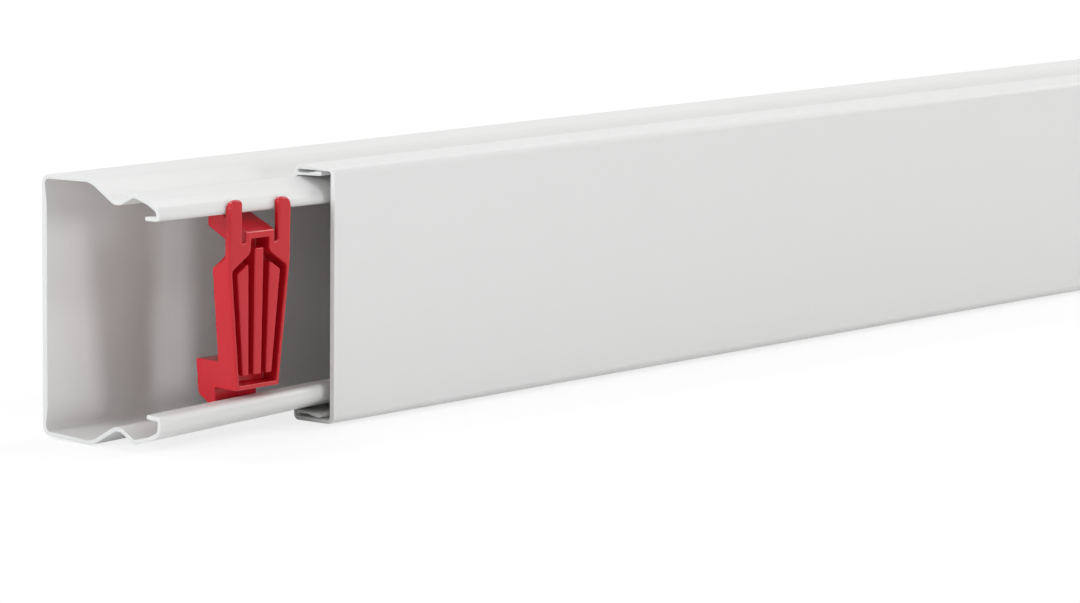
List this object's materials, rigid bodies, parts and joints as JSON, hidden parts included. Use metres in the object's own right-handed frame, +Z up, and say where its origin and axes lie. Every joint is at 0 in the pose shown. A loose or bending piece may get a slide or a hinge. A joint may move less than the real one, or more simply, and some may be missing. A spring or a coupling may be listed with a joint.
{
  "type": "cord cover raceway",
  "caption": "Snap-lid cable trunking: a U-shaped wall channel with rolled beads, a clip-on front cover and a red clip that holds cables in.",
  "frame": {"origin": "centre of the whole part's box, at floor level", "axes": "+X along the duct from its open end to its far end, +Y out of the wall face, -Y out of the lid's front face, +Z up"},
  "size_m": [2, 0.04, 0.061],
  "materials": {
    "white_plastic": "satin extruded rigid plastic, white",
    "red_plastic": "moulded plastic, red, slight sheen"
  },
  "bodies": {
    "root": {"base": "white_plastic", "lid": "white_plastic", "cable_clip": "red_plastic"}
  },
  "joints": []
}
